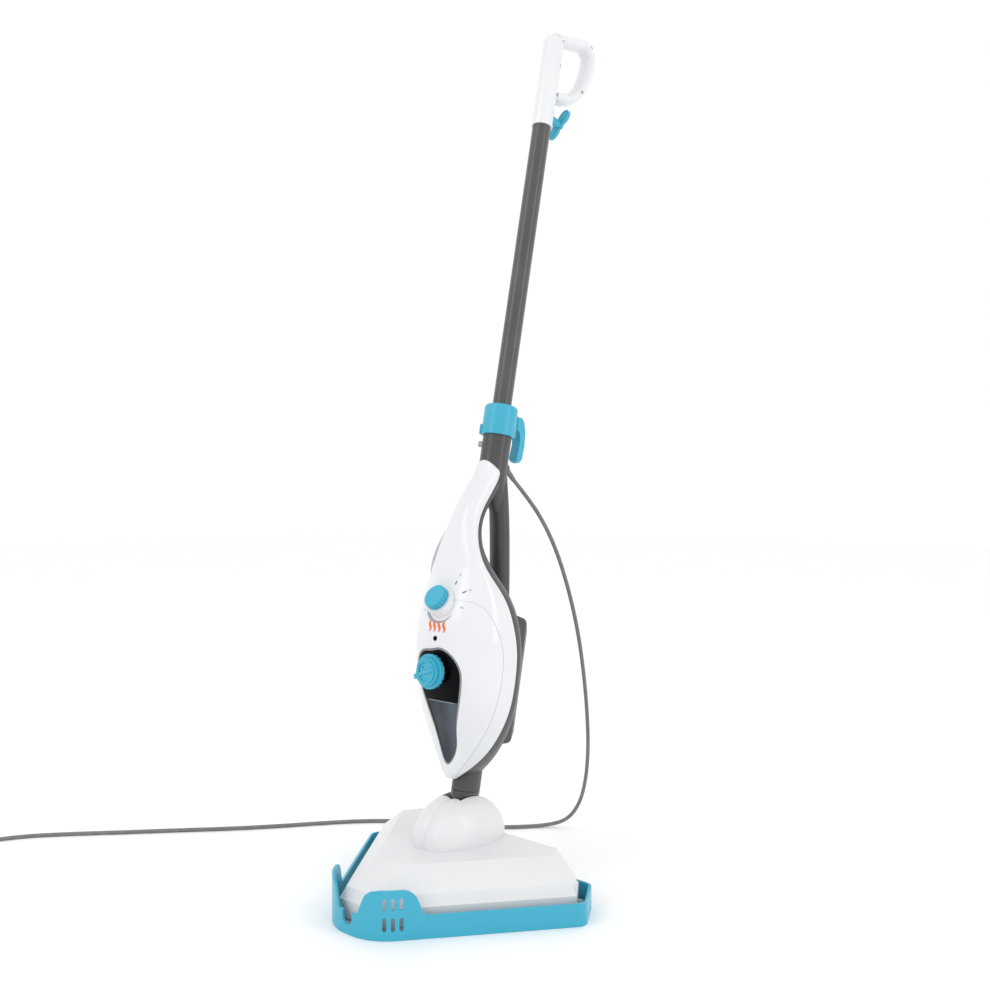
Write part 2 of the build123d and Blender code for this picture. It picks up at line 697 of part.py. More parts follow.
def grip_bar(inset=0.0):
    """Rear grip: a rounded bar that stands off behind the front handle."""
    faces = []
    for s, y in GRIP_PATH:
        face = scale(Circle(1), by=(GRIP_HALF_X - inset, GRIP_HALF_T - inset, 1))
        faces.append(face.moved(Location((0, y, s))))
    return loft(faces)


def neck_sleeve_outer():
    """Charcoal sleeve at the top, which holds the pole."""
    sleeve = standing(SLEEVE_R, SLEEVE_FOOT, SLEEVE_TOP)
    taper = []
    for s, y, radius in ((SLEEVE_FOOT, 0, SLEEVE_R), (SLEEVE_FOOT - 20, 9, 13), (SLEEVE_FOOT - 40, 19, 8)):
        taper.append(Circle(radius).moved(Location((0, y, s))))
    return sleeve + loft(taper)


def neck_socket():
    """Lower end of the rear shell, which takes the neck."""
    return Location((0, NECK_T, 0)) * neck_section(JOINT_S + 0.3, NECK_TOP_S + 20)


def rear_shell():
    """Charcoal rear shell with the pole sleeve, the rear grip and the neck socket."""
    shell = rear_solid() - (rear_solid(WALL) & slab(158, 372))
    shell = shell + neck_sleeve_outer() + grip_bar() + neck_socket()
    shell -= front_form_block()
    shell -= standing(TUBE_R + RUN, TUBE_BOTTOM, SLEEVE_TOP + 10)
    shell -= Location((0, NECK_T, JOINT_S)) * Cylinder(SPIGOT_R, 2 * (SPIGOT_L - 3))
    shell -= Location((0, NECK_T, JOINT_S)) * Cylinder(5.0, 130)
    shell = shell - hump_opening() - pole_button_bore() - release_bore()
    return shell


def front_form_block():
    """Space of the front shell, so that the two shells only meet at the seam."""
    return front_solid(-0.2) & slab(380, 515)


def hump_block(inset):
    """Rounded block of the rear cover, drawn in by an inset."""
    low = HUMP_S0 + inset
    high = HUMP_S1 - inset
    back = HUMP_T - inset
    half = HUMP_HALF_X - inset
    profile = [(30, low - 4), (back - 22, low), (back - 7, low + 13), (back - 1, low + 40),
               (back, low + 80), (back - 2, high - 34), (back - 8, high - 15), (back - 22, high), (30, high + 4)]
    side = make_face(Polyline(*profile, close=True).edges())
    side = fillet(side.vertices().filter_by(lambda v: v.X > 40), HUMP_ROUND)
    right = [(half, 20), (half - 1, back - 18), (half - 9, back - 5), (half - 22, back)]
    left = [(-x, y) for x, y in reversed(right)]
    plan = make_face(Polyline(*right, *left, close=True).edges())
    plan = fillet(plan.vertices().filter_by(lambda v: v.Y > 40), HUMP_ROUND - 1)
    return extrude(Plane.YZ * side, amount=2 * HUMP_HALF_X, both=True) & extrude(plan, amount=HUMP_S1 + 50)


def rear_cover():
    """Charcoal rear cover over the boiler, standing proud of the rear shell."""
    return hump_block(0) - hump_block(WALL) - rear_solid(-0.3) - grip_bar(-0.3)


def hump_opening():
    """Service opening under the rear cover."""
    return Box(50, 60, 90).moved(Location((0, 55, 270)))


def standing(radius, low, high):
    """Cylinder about the pole's axis, between two heights."""
    return Cylinder(radius, high - low, align=(Align.CENTER, Align.CENTER, Align.MIN)).moved(
        Location((0, 0, low)))


def collar():
    """Blue clamp collar round the pole, over the top of the sleeve, with a rounded top."""
    body = standing(COLLAR_R, COLLAR_S0, COLLAR_S1)
    body = fillet(body.edges().group_by(Axis.Z)[-1], 5)
    body += Box(13, 12, 30).moved(Location((0, 22, 606)))
    boss = Cylinder(7, 10, rotation=(90, 0, 0)).moved(Location((0, -SLEEVE_R - 0.5, COLLAR_S0 + 7)))
    body += boss.rotate(Axis.Z, -POLE_BUTTON_TURN)
    body -= standing(SLEEVE_R + RUN, COLLAR_S0 - 10, SLEEVE_TOP + GAP)
    body -= standing(TUBE_R + GAP / 2, SLEEVE_TOP, COLLAR_S1 + 10)
    return body


def lower_cord_hook():
    """Blue cord hook that hangs down behind the collar."""
    outline = [(28.4, 620), (35, 621), (41, 616), (45.5, 604), (47.5, 585), (46, 567), (43.5, 561.5),
               (40, 560), (36.5, 562), (35.5, 567), (37.5, 585), (36, 597), (33, 602), (28.4, 603)]
    side = make_face(Polyline(*outline, close=True).edges())
    hook = extrude(Plane.YZ * side, amount=7, both=True)
    hook = fillet(hook.edges().filter_by(Axis.X), 1.4)
    return hook & (slab(567, 640) + Cylinder(7, 200, rotation=(90, 0, 0)).moved(Location((0, 0, 567))))


def pole_button_frame(shape):
    """Place a piece drawn along -Y on the pole button's own axis."""
    return Location((0, 0, POLE_BUTTON_S), (0, 0, -POLE_BUTTON_TURN)) * shape


def pole_tube():
    """Steel pole from the body's sleeve up into the handle."""
    tube = standing(TUBE_R, TUBE_BOTTOM, TUBE_TOP) - standing(TUBE_R - TUBE_WALL, 0, 2000)
    return tube - pole_button_bore()


def pole_button_bore():
    """Hole for the pole button through the sleeve and the pole."""
    hole = Cylinder(POLE_BUTTON_R + RUN, 30, rotation=(90, 0, 0))
    return pole_button_frame(hole.moved(Location((0, -20, 0))))


def pole_button():
    """Spring button that locks the pole in its sleeve."""
    button = Cylinder(POLE_BUTTON_R, POLE_BUTTON_L, rotation=(90, 0, 0))
    button = fillet(button.edges().sort_by(Axis.Y)[0], 1.4)
    return pole_button_frame(button.moved(Location((0, -SLEEVE_R - 5.0 + POLE_BUTTON_L / 2, 0))))


def gland_frame(shape):
    """Place a piece drawn along +Z from the gland's seat, which points back and down."""
    return Location((0, GLAND_SEAT_Y, GLAND_SEAT_S), (-90 - GLAND_DROOP, 0, 0)) * shape


def cord_gland():
    """Gland at the back of the sleeve, where the cord comes out."""
    gland = Cylinder(GLAND_R, GLAND_L, align=(Align.CENTER, Align.CENTER, Align.MIN))
    gland = fillet(gland.edges().sort_by(Axis.Z)[-1], 1.5)
    return gland_frame(gland) - standing(SLEEVE_R, 500, SLEEVE_TOP) - grip_bar()


def strain_relief():
    """Tapered rubber strain relief on the cord."""
    cone = Cone(CORD_D / 2 + 1.3, CORD_D / 2 + 0.4, RELIEF_L, align=(Align.CENTER, Align.CENTER, Align.MIN))
    for i in range(RELIEF_RIBS):
        ring = Torus(CORD_D / 2 + 1.8, 0.7).moved(Location((0, 0, 3.0 + i * 3.4)))
        cone -= ring
    return gland_frame(cone.moved(Location((0, 0, GLAND_L))))


# Points of the free cord's route, from the strain relief down to the floor and along it.
CORD_ROUTE = [
    (0, 152.8, 517.6), (3, 171, 500), (13, 194, 468), (21, 217, 424), (26, 239, 366), (26, 260, 305),
    (21, 279, 246), (14, 296, 188), (4, 312, 132), (-10, 325, 82), (-27, 332, 40), (-48, 328, 12),
    (-74, 313, 2.7), (-95, 284, 2.7), (-122, 256, 2.7), (-160, 231, 2.7), (-204, 207, 2.7),
    (-252, 178, 2.7), (-294, 140, 2.7), (-331, 92, 2.7), (-370, 36, 2.7), (-414, -20, 2.7),
    (-463, -74, 2.7), (-511, -130, 2.7), (-560, -184, 2.7), (-604, -236, 2.7), (-628, -284, 2.7),
    (-634, -322, 2.7),
]
TAIL_ROUTE = [(-697, -343, 4), (-706, -318, 5), (-722, -303, 8), (-743.6, -302, 10)]
COIL_CENTRE = (-668, -322)
PLUG_AT = (-770, -302)


def cord_along(points):
    """Tube along straight runs joined by arcs as large as the runs allow."""
    radii = []
    for before, corner, after in zip(points, points[1:], points[2:]):
        first = Vector(*corner) - Vector(*before)
        second = Vector(*after) - Vector(*corner)
        turn = math.radians(first.get_angle(second))
        radii.append(0.45 * min(first.length, second.length) / math.tan(turn / 2))
    print("radii", [round(r) for r in radii])
    path = FilletPolyline(*points, radius=radii)
    tube = sweep(Plane(path @ 0, z_dir=path % 0) * Circle(CORD_D / 2), path=path)
    print("length", round(path.length), "section x length", round(path.length * math.pi * CORD_D ** 2 / 4))
    return tube


def cord_tube():
    """Free cord from the strain relief to its coil."""
    return cord_along(CORD_ROUTE)


def cord_tail():
    """Last short stretch of the cord, from the coil to the plug."""
    return cord_along(TAIL_ROUTE)


def coil_tie():
    """Strap that holds the coil together."""
    strap = Box(10, COIL_W + 2.4, COIL_H + 1.2, align=(Align.CENTER, Align.CENTER, Align.MIN))
    hollow = Box(20, COIL_W, COIL_H - 1.2, align=(Align.CENTER, Align.CENTER, Align.MIN))
    strap -= hollow.moved(Location((0, 0, 1.2)))
    return strap.moved(Location((COIL_CENTRE[0], COIL_CENTRE[1] - COIL_TURN_D / 2, 0)))


def cord_coil():
    """Outer shape of the put-away coil."""
    low = (Align.CENTER, Align.CENTER, Align.MIN)
    ring = Cylinder((COIL_TURN_D + COIL_W) / 2, COIL_H, align=low)
    ring -= Cylinder((COIL_TURN_D - COIL_W) / 2, COIL_H, align=low)
    ring = fillet(ring.edges(), 3)
    return ring.moved(Location((*COIL_CENTRE, 0))) - coil_tie()


def plug_body():
    """Moulded three-pin plug, lying on its back beside the coil."""
    body = Box(PLUG_L, PLUG_W, PLUG_H, align=(Align.CENTER, Align.CENTER, Align.MIN))
    body = fillet(body.edges().filter_by(Axis.Z), 9)
    body = fillet(body.edges().group_by(Axis.Z)[0], 4)
    return body.moved(Location((*PLUG_AT, 0)))


def plug_pins():
    """Earth, line and neutral pins, as one group."""
    pins = []
    for dx, dy, size in ((-11, 0, (8, 4, 22.7)), (11.2, 11.1, (4, 6.4, 17.7)), (11.2, -11.1, (4, 6.4, 17.7))):
        pin = Box(*size, align=(Align.CENTER, Align.CENTER, Align.MIN))
        pin = chamfer(pin.edges().group_by(Axis.Z)[-1], 0.8)
        pins.append(pin.moved(Location((PLUG_AT[0] + dx, PLUG_AT[1] + dy, PLUG_H))))
    return Compound(children=pins)


LOOP_PATH = [(0, 1155), (40, 1170), (75, 1184), (77, 1149), (66, 1110), (40, 1081), (0, 1073)]


def handle_form(inset=0.0):
    """Outer form of the D handle, or its hollow when inset by the wall."""
    bar = standing(HANDLE_R - inset, HANDLE_BOTTOM + inset, HANDLE_BAR_TOP)
    bar += Sphere(HANDLE_R - inset).moved(Location((0, 0, HANDLE_BAR_TOP)))
    points = [(0, y, s) for y, s in LOOP_PATH]
    path = FilletPolyline(*points, radius=[60, 15, 60, 60, 60])
    start = Plane(path @ 0, x_dir=(1, 0, 0), z_dir=path % 0)
    loop_section = start * scale(Circle(1), by=(LOOP_HALF_X - inset, LOOP_R - inset, 1))
    return bar + sweep(loop_section, path=path)


def handle_half(side):
    """One of the two white halves of the D handle."""
    form = handle_form() - standing(TUBE_R + RUN, HANDLE_BOTTOM - 10, TUBE_TOP + 1)
    form -= standing(TUBE_R - 2.0, TUBE_TOP, HANDLE_BAR_TOP - 4)
    half = Box(60, 300, 400, align=(Align.MIN, Align.CENTER, Align.CENTER))
    half = half.moved(Location((0.05, 40, 1110)))
    if side < 0:
        half = mirror(half, about=Plane.YZ)
    form = (form & half) - hook_place(Cylinder(HOOK_SCREW_R, 10))
    for y, s in HANDLE_SCREWS:
        reach = Cylinder(2.6, 30, rotation=(0, 90, 0)).moved(Location((15 + screw_face(y), y, s)))
        hole = Cylinder(1.3, 80, rotation=(0, 90, 0)).moved(Location((0, y, s)))
        if side > 0:
            form -= reach
        form -= hole
    return form


HANDLE_SCREWS = [(7, 1152), (68, 1178), (7.5, 1116), (60, 1104), (9, 1074), (10.5, 1062)]


def screw_face(y):
    """Depth of a handle screw's seat from the middle plane."""
    return 5.0 if y > 20 else 7.0


def handle_screws():
    """Screws of the handle, as one group of separate pieces."""
    group = []
    for y, s in HANDLE_SCREWS:
        head = Cylinder(2.3, 1.8, rotation=(0, 90, 0)).moved(Location((screw_face(y) + 1.0, y, s)))
        shank = Cylinder(1.3, 9, rotation=(0, 90, 0)).moved(Location((screw_face(y) - 4.4, y, s)))
        group.append(head + shank)
    return Compound(children=group)


def hook_place(shape):
    """Place a piece drawn about the upper hook's own axis, which points backwards."""
    return Location((0, HANDLE_R, HOOK_S), (-90, 0, 0)) * shape


def upper_cord_hook():
    """Blue turning cleat with two rounded lobes, on its stem."""
    lobe = scale(Cylinder(1, 5), by=(7.0, 11.0, 1))
    plate = Cylinder(6.5, 5)
    for side in (1, -1):
        plate += lobe.moved(Location((0, side * 12.0, 0)))
    plate = plate.moved(Location((0, 0, 20)))
    stem = Cylinder(5.5, 17.6, align=(Align.CENTER, Align.CENTER, Align.MIN)).moved(Location((0, 0, 0.6)))
    hook = plate + stem
    hook -= Cylinder(HOOK_SCREW_R + RUN, 80)
    return hook_place(hook.rotate(Axis.Z, HOOK_TURN))


def hook_screw():
    """Screw on which the upper hook turns."""
    head = Cylinder(3.4, 2, align=(Align.CENTER, Align.CENTER, Align.MIN)).moved(Location((0, 0, 22.8)))
    shank = Cylinder(HOOK_SCREW_R, 24.4, align=(Align.CENTER, Align.CENTER, Align.MAX)).moved(
        Location((0, 0, 22.9)))
    return hook_place(head + shank)


def release_button():
    """Round button at the bottom of the back, which frees the neck."""
    button = Cylinder(BUTTON_R, BUTTON_L, rotation=(90, 0, 0))
    button = fillet(button.edges().sort_by(Axis.Y)[-1], 1.5)
    return button.moved(Location((0, BUTTON_OUT - BUTTON_L / 2, BUTTON_S)))


def release_bore():
    """Bore that guides the release button, with room for its travel and its spring."""
    bore = Cylinder(BUTTON_R + RUN, 60, align=(Align.CENTER, Align.CENTER, Align.MIN))
    return Location((0, BUTTON_OUT - BUTTON_L - BUTTON_TRAVEL - SPRING_L - 1, BUTTON_S), (-90, 0, 0)) * bore


def release_spring():
    """Return spring behind the release button, as a plain sleeve at its shortest."""
    spring = Cylinder(3.2, SPRING_L, rotation=(90, 0, 0)) - Cylinder(2.2, 20, rotation=(90, 0, 0))
    back = BUTTON_OUT - BUTTON_L - BUTTON_TRAVEL - 0.5
    return spring.moved(Location((0, back - SPRING_L / 2, BUTTON_S)))


def boiler():
    """Cast aluminium boiler in the lower back of the body."""
    pot = Cylinder(21, 84, align=(Align.CENTER, Align.CENTER, Align.MIN))
    pot = fillet(pot.edges(), 5)
    pot += Cylinder(24, 6).moved(Location((0, 0, 42)))
    return pot.moved(Location((0, 24, 226)))


def boiler_outlet():
    """Steam pipe from the boiler to the neck."""
    path = FilletPolyline((0, 24, 225.8), (0, 24, 217), (0, NECK_T, 204), (0, NECK_T, 178), radius=5)
    return sweep(Plane(path @ 0, z_dir=path % 0) * Circle(3), path=path)


def pump():
    """Pump with its coil can and outlet nozzle."""
    can = Box(26, 24, 30).moved(Location((-26, 12, 336)))
    can = fillet(can.edges().filter_by(Axis.Z), 3)
    nose = Cylinder(5, 14, align=(Align.CENTER, Align.CENTER, Align.MAX)).moved(Location((-26, 12, 321)))
    return can + nose


def pump_hose():
    """Hose from the pump to the boiler."""
    path = FilletPolyline((-12.8, 12, 332), (0, 12, 332), (0, 24, 324), (0, 24, 310.2), radius=4)
    return sweep(Plane(path @ 0, z_dir=path % 0) * Circle(2.2), path=path)


def thermostat():
    """Thermostat disc clamped on the boiler."""
    return Cylinder(8, 6, rotation=(0, 90, 0)).moved(Location((-25, 24, 250)))


def control_board():
    """Circuit board beside the dial's valve."""
    board = Box(34, 1.6, 46).moved(Location((18, -12, 352)))
    board += Box(14, 9, 12).moved(Location((22, -6.8, 346)))
    return board


def dial_valve():
    """Valve block behind the steam dial."""
    block = Box(22, 14, 22).moved(Location((0, front_y(DIAL_S) + 12 + WALL, DIAL_S)))
    return block - dial_frame() * Cylinder(DIAL_STEM_R + RUN, 60)


HEAD_PIECES = [glider_tray, mop_pad, head_base, base_screws, head_cover, pivot_pin, steam_hose,
               steam_diffuser, neck_yoke, swivel_spigot, swivel_seal]
POLE_PIECES = [front_shell, window_bezel, window_top, window_lens, water_tank, tank_cap, cap_seal,
               dial_ring, steam_dial, dial_valve, led_lens, rear_shell, rear_cover, release_button,
               release_spring, boiler, boiler_outlet, pump, pump_hose, thermostat, control_board,
               collar, lower_cord_hook, pole_tube, pole_button, cord_gland, strain_relief,
               handle_screws, upper_cord_hook, hook_screw]
CORD_PIECES = [cord_tube, cord_tail, cord_coil, coil_tie, plug_body, plug_pins]


def main():
    """Write every node: the head and cord as drawn, the pole's pieces leaned back."""
    for piece in HEAD_PIECES + CORD_PIECES:
        save(piece.__name__, piece())
    for piece in POLE_PIECES:
        save(piece.__name__, lean(piece()))
    save("handle_right", lean(handle_half(1)))
    save("handle_left", lean(handle_half(-1)))


if __name__ == "__main__":
    main()
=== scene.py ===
import bpy
import bmesh
import json
import math
from mathutils import Vector, Matrix
from mathutils.bvhtree import BVHTree


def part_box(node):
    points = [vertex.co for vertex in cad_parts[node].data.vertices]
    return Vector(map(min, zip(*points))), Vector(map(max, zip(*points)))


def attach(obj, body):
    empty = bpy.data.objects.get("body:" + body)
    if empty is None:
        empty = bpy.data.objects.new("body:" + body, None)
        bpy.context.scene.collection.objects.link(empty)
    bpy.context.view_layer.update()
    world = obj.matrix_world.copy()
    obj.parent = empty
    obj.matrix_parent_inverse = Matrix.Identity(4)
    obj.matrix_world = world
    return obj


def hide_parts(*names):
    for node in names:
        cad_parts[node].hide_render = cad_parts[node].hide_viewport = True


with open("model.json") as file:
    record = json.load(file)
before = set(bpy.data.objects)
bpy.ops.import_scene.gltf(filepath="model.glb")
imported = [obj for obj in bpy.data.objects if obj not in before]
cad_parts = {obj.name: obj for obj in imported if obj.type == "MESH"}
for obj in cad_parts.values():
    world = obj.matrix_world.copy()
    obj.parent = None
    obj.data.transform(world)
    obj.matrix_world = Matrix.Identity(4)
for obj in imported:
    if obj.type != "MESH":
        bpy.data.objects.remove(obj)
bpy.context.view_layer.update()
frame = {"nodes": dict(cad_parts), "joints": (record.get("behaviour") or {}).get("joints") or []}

MM = 0.001
LEAN = math.radians(11.9)
# Turns a point drawn upright about the pole's axis into the parked mop's frame.
POLE = Matrix.Rotation(-LEAN, 4, "X")


def pole_point(x, y, s):
    """Point in metres from millimetres across, back and up along the leaning pole."""
    return POLE @ Vector((x * MM, y * MM, s * MM))


# ---------------------------------------------------------------- finishes
class Finish:
    """A node material under construction, with small helpers for its patterns."""

    def __init__(self, name):
        self.material = bpy.data.materials.new(name)
        self.material.use_nodes = True
        self.tree = self.material.node_tree
        self.shader = self.tree.nodes["Principled BSDF"]
        self.place = self.add("ShaderNodeTexCoord").outputs["Object"]

    def add(self, kind, **settings):
        node = self.tree.nodes.new(kind)
        for key, value in settings.items():
            if hasattr(node, key):
                setattr(node, key, value)
            else:
                node.inputs[key].default_value = value
        return node

    def join(self, out, into):
        self.tree.links.new(out, into)

    def put(self, **values):
        for key, value in values.items():
            self.shader.inputs[key.replace("_", " ")].default_value = value
        return self

    def noise(self, scale, detail=3.0, rough=0.55, stretch=None):
        node = self.add("ShaderNodeTexNoise")
        node.inputs["Scale"].default_value = scale
        node.inputs["Detail"].default_value = detail
        node.inputs["Roughness"].default_value = rough
        source = self.place
        if stretch:
            mapping = self.add("ShaderNodeMapping")
            mapping.inputs["Scale"].default_value = stretch
            self.join(source, mapping.inputs["Vector"])
            source = mapping.outputs["Vector"]
        self.join(source, node.inputs["Vector"])
        return node.outputs["Fac"]

    def between(self, value, low, high, start=0.3, end=0.7):
        node = self.add("ShaderNodeMapRange")
        for name, number in (("From Min", start), ("From Max", end), ("To Min", low), ("To Max", high)):
            node.inputs[name].default_value = number
        self.join(value, node.inputs["Value"])
        return node.outputs["Result"]

    def tint(self, value, dark, light, start=0.3, end=0.7):
        ramp = self.add("ShaderNodeValToRGB")
        ramp.color_ramp.elements[0].position = start
        ramp.color_ramp.elements[1].position = end
        ramp.color_ramp.elements[0].color = (*dark, 1)
        ramp.color_ramp.elements[1].color = (*light, 1)
        self.join(value, ramp.inputs["Fac"])
        self.join(ramp.outputs["Color"], self.shader.inputs["Base Color"])
        return self

    def rough(self, value, low, high, start=0.3, end=0.7):
        self.join(self.between(value, low, high, start, end), self.shader.inputs["Roughness"])
        return self

    def bump(self, height, strength, depth):
        node = self.add("ShaderNodeBump")
        node.inputs["Strength"].default_value = strength
        node.inputs["Distance"].default_value = depth
        self.join(height, node.inputs["Height"])
        self.join(node.outputs["Normal"], self.shader.inputs["Normal"])
        return self


def moulded_plastic(name, dark, light, low, high, grain=2600.0, depth=0.00002, coat=0.0, specular=0.5):
    """Moulded plastic: slow colour drift, uneven gloss, and a fine moulded skin."""
    finish = Finish(name)
    finish.tint(finish.noise(9.0, 2.0), dark, light)
    finish.rough(finish.noise(60.0, 5.0, 0.62), low, high)
    finish.bump(finish.noise(grain, 2.0, 0.5), 0.25, depth)
    finish.put(IOR=1.49, Coat_Weight=coat, Coat_Roughness=0.08, Specular_IOR_Level=specular)
    return finish.material


def painted_tube():
    """Satin powder paint on the steel pole, with faint lengthwise rub marks."""
    finish = Finish("pole satin paint")
    finish.tint(finish.noise(30.0, 3.0), (0.056, 0.055, 0.055), (0.070, 0.069, 0.068))
    finish.rough(finish.noise(160.0, 4.0, 0.6, (1.0, 1.0, 0.05)), 0.26, 0.40)
    finish.bump(finish.noise(1900.0, 2.0), 0.18, 0.00003)
    return finish.put(Metallic=0.0, IOR=1.5, Coat_Weight=0.25, Coat_Roughness=0.22).material


def turned_steel(name, tone):
    """Bright steel with fine turning marks."""
    finish = Finish(name)
    finish.tint(finish.noise(120.0), [c * 0.86 for c in tone], tone)
    finish.rough(finish.noise(900.0, 4.0, 0.6, (1.0, 0.06, 1.0)), 0.18, 0.36)
    finish.bump(finish.noise(2400.0, 2.0, 0.5, (1.0, 0.06, 1.0)), 0.2, 0.00001)
    return finish.put(Metallic=1.0).material


def soft_rubber(name, dark, light):
    """Matte rubber with a fine bloom."""
    finish = Finish(name)
    finish.tint(finish.noise(140.0, 4.0), dark, light)
    finish.rough(finish.noise(420.0, 4.0), 0.44, 0.62)
    finish.bump(finish.noise(3600.0, 2.0), 0.25, 0.00002)
    return finish.put(IOR=1.5).material


def pile_cloth():
    """White microfibre pile: small loops, soft sheen, and painted shade greying the hollows between loops.
    """
    finish = Finish("microfibre pile")
    loops = finish.add("ShaderNodeTexVoronoi")
    loops.inputs["Scale"].default_value = 420.0
    finish.join(finish.place, loops.inputs["Vector"])
    # Painted shade: the colour darkens from the middle of each loop into the hollows between loops.
    finish.tint(loops.outputs["Distance"], (0.80, 0.82, 0.83), (0.46, 0.48, 0.50), 0.1, 0.8)
    finish.rough(finish.noise(300.0), 0.80, 0.96)
    finish.bump(loops.outputs["Distance"], 0.7, 0.0008)
    return finish.put(Sheen_Weight=0.4, Sheen_Roughness=0.5).material


def clear_plastic(name, tint, rough, alpha):
    """Thin see-through plastic, tinted, with faint surface marks."""
    finish = Finish(name)
    finish.put(Base_Color=(*tint, 1), Transmission_Weight=1.0, IOR=1.2, Alpha=alpha)
    finish.rough(finish.noise(70.0, 5.0, 0.6), rough, rough + 0.07)
    finish.bump(finish.noise(500.0, 2.0), 0.1, 0.00002)
    return finish.material


def smoked_window():
    """Smoked blue grey window over the tank, with painted shade darkening it to near black at its left
    edge.
    """
    finish = Finish("smoked clear window")
    parts = finish.add("ShaderNodeSeparateXYZ")
    finish.join(finish.place, parts.inputs["Vector"])
    # Painted shade: the colour runs from near black at the left edge to blue grey at the right, with a
    # slow drift.
    across = finish.between(parts.outputs["X"], 0.0, 1.0, -0.022, 0.024)
    blend = finish.add("ShaderNodeMath", operation="ADD")
    finish.join(across, blend.inputs[0])
    drift = finish.between(finish.noise(38.0, 2.0, 0.5, (1.0, 1.0, 0.25)), -0.25, 0.25)
    finish.join(drift, blend.inputs[1])
    finish.tint(blend.outputs[0], (0.012, 0.014, 0.018), (0.085, 0.105, 0.135), 0.15, 0.85)
    finish.rough(finish.noise(70.0, 5.0, 0.6), 0.04, 0.10)
    finish.bump(finish.noise(500.0, 2.0), 0.1, 0.00002)
    return finish.put(IOR=1.45, Alpha=0.93, Specular_IOR_Level=0.35).material


WHITE = moulded_plastic("white gloss body", (0.74, 0.75, 0.775), (0.78, 0.79, 0.81), 0.16, 0.27,
                        1500.0, 0.00001, 0.35)
WHITE_HEAD = moulded_plastic("white satin head", (0.72, 0.73, 0.75), (0.76, 0.77, 0.785), 0.30, 0.42,
                             1500.0, 0.00001, 0.1)
BLUE = moulded_plastic("blue satin plastic", (0.032, 0.370, 0.530), (0.042, 0.410, 0.575), 0.28, 0.42,
                       2200.0, 0.00002, 0.1)
CHARCOAL = moulded_plastic("charcoal plastic", (0.050, 0.050, 0.050), (0.064, 0.063, 0.063), 0.28, 0.42,
                           2400.0, 0.00004, 0.05)
CHARCOAL_NECK = moulded_plastic("charcoal gloss neck", (0.040, 0.040, 0.040), (0.052, 0.052, 0.052), 0.16,
                                0.26, 1800.0, 0.00001, 0.3)
PALE_GREY = moulded_plastic("pale grey button", (0.40, 0.40, 0.40), (0.48, 0.48, 0.48), 0.30, 0.42)
BLACK = moulded_plastic("black gloss panel", (0.002, 0.002, 0.003), (0.004, 0.004, 0.005), 0.12, 0.20,
                        1500.0, 0.000005, 0.0, 0.06)
RIM = moulded_plastic("window rim grey", (0.20, 0.205, 0.21), (0.27, 0.275, 0.28), 0.2, 0.32)
PRINT_GREY = moulded_plastic("printed grey", (0.15, 0.15, 0.155), (0.22, 0.22, 0.225), 0.35, 0.5)
PRINT_FAINT = moulded_plastic("printed pale grey", (0.45, 0.45, 0.46), (0.55, 0.55, 0.56), 0.35, 0.5)
PRINT_ORANGE = moulded_plastic("printed orange", (0.86, 0.13, 0.02), (0.93, 0.17, 0.03), 0.3, 0.42)
# Grey for the printed water mark, and for the painted shade of the crescent in the dial's recess.
PRINT_AND_SHADE_GREY = moulded_plastic("water mark and painted shade grey", (0.30, 0.32, 0.34), (0.38, 0.40, 0.42), 0.3, 0.42)
THREAD = moulded_plastic("clear thread ring", (0.30, 0.32, 0.34), (0.42, 0.44, 0.46), 0.06, 0.14)
POLE_PAINT = painted_tube()
STEEL = turned_steel("bright steel", (0.62, 0.62, 0.63))
BRASS = turned_steel("bright brass", (0.72, 0.50, 0.22))
CAST = turned_steel("cast aluminium", (0.50, 0.51, 0.52))
RUBBER = soft_rubber("black rubber", (0.030, 0.030, 0.031), (0.050, 0.050, 0.051))
CORD_GREY = soft_rubber("grey cord sheath", (0.155, 0.153, 0.150), (0.205, 0.203, 0.200))
PILE = pile_cloth()
SMOKED = smoked_window()
CLEAR = clear_plastic("clear tank plastic", (0.80, 0.86, 0.90), 0.05, 1.0)
BOARD = moulded_plastic("circuit board green", (0.02, 0.12, 0.05), (0.03, 0.17, 0.07), 0.3, 0.5)

NODE_FINISH = {
    "glider_tray": BLUE, "head_base": WHITE_HEAD, "base_screws": STEEL, "head_cover": WHITE_HEAD,
    "pivot_pin": STEEL, "steam_hose": RUBBER, "steam_diffuser": BRASS, "neck_yoke": CHARCOAL_NECK,
    "swivel_spigot": CHARCOAL, "swivel_seal": RUBBER, "front_shell": WHITE, "window_bezel": RIM,
    "window_top": BLACK, "window_lens": SMOKED, "water_tank": CLEAR, "tank_cap": BLUE,
    "cap_seal": RUBBER, "dial_ring": WHITE, "steam_dial": BLUE, "dial_valve": CHARCOAL,
    "led_lens": BLACK, "rear_shell": CHARCOAL, "rear_cover": CHARCOAL, "release_button": CHARCOAL,
    "release_spring": STEEL, "boiler": CAST, "boiler_outlet": BRASS, "pump": CHARCOAL,
    "pump_hose": RUBBER, "thermostat": CAST, "control_board": BOARD, "collar": BLUE,
    "lower_cord_hook": BLUE, "pole_tube": POLE_PAINT, "pole_button": PALE_GREY,
    "cord_gland": CHARCOAL, "strain_relief": CORD_GREY, "handle_screws": STEEL,
    "upper_cord_hook": BLUE, "hook_screw": STEEL, "handle_right": WHITE, "handle_left": WHITE,
    "coil_tie": RUBBER, "plug_body": RUBBER, "plug_pins": BRASS,
}
for node, finish in NODE_FINISH.items():
    mesh = frame["nodes"][node].data
    mesh.materials.clear()
    mesh.materials.append(finish)


# ---------------------------------------------------------------- small makers
def new_piece(name, bm, finish, body):
    """Turn a finished bmesh into a piece that rides on a body."""
    mesh = bpy.data.meshes.new(name)
    bm.to_mesh(mesh)
    bm.free()
    mesh.materials.append(finish)
    for face in mesh.polygons:
        face.use_smooth = True
    piece = bpy.data.objects.new(name, mesh)
    bpy.context.collection.objects.link(piece)
    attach(piece, body)
    return piece


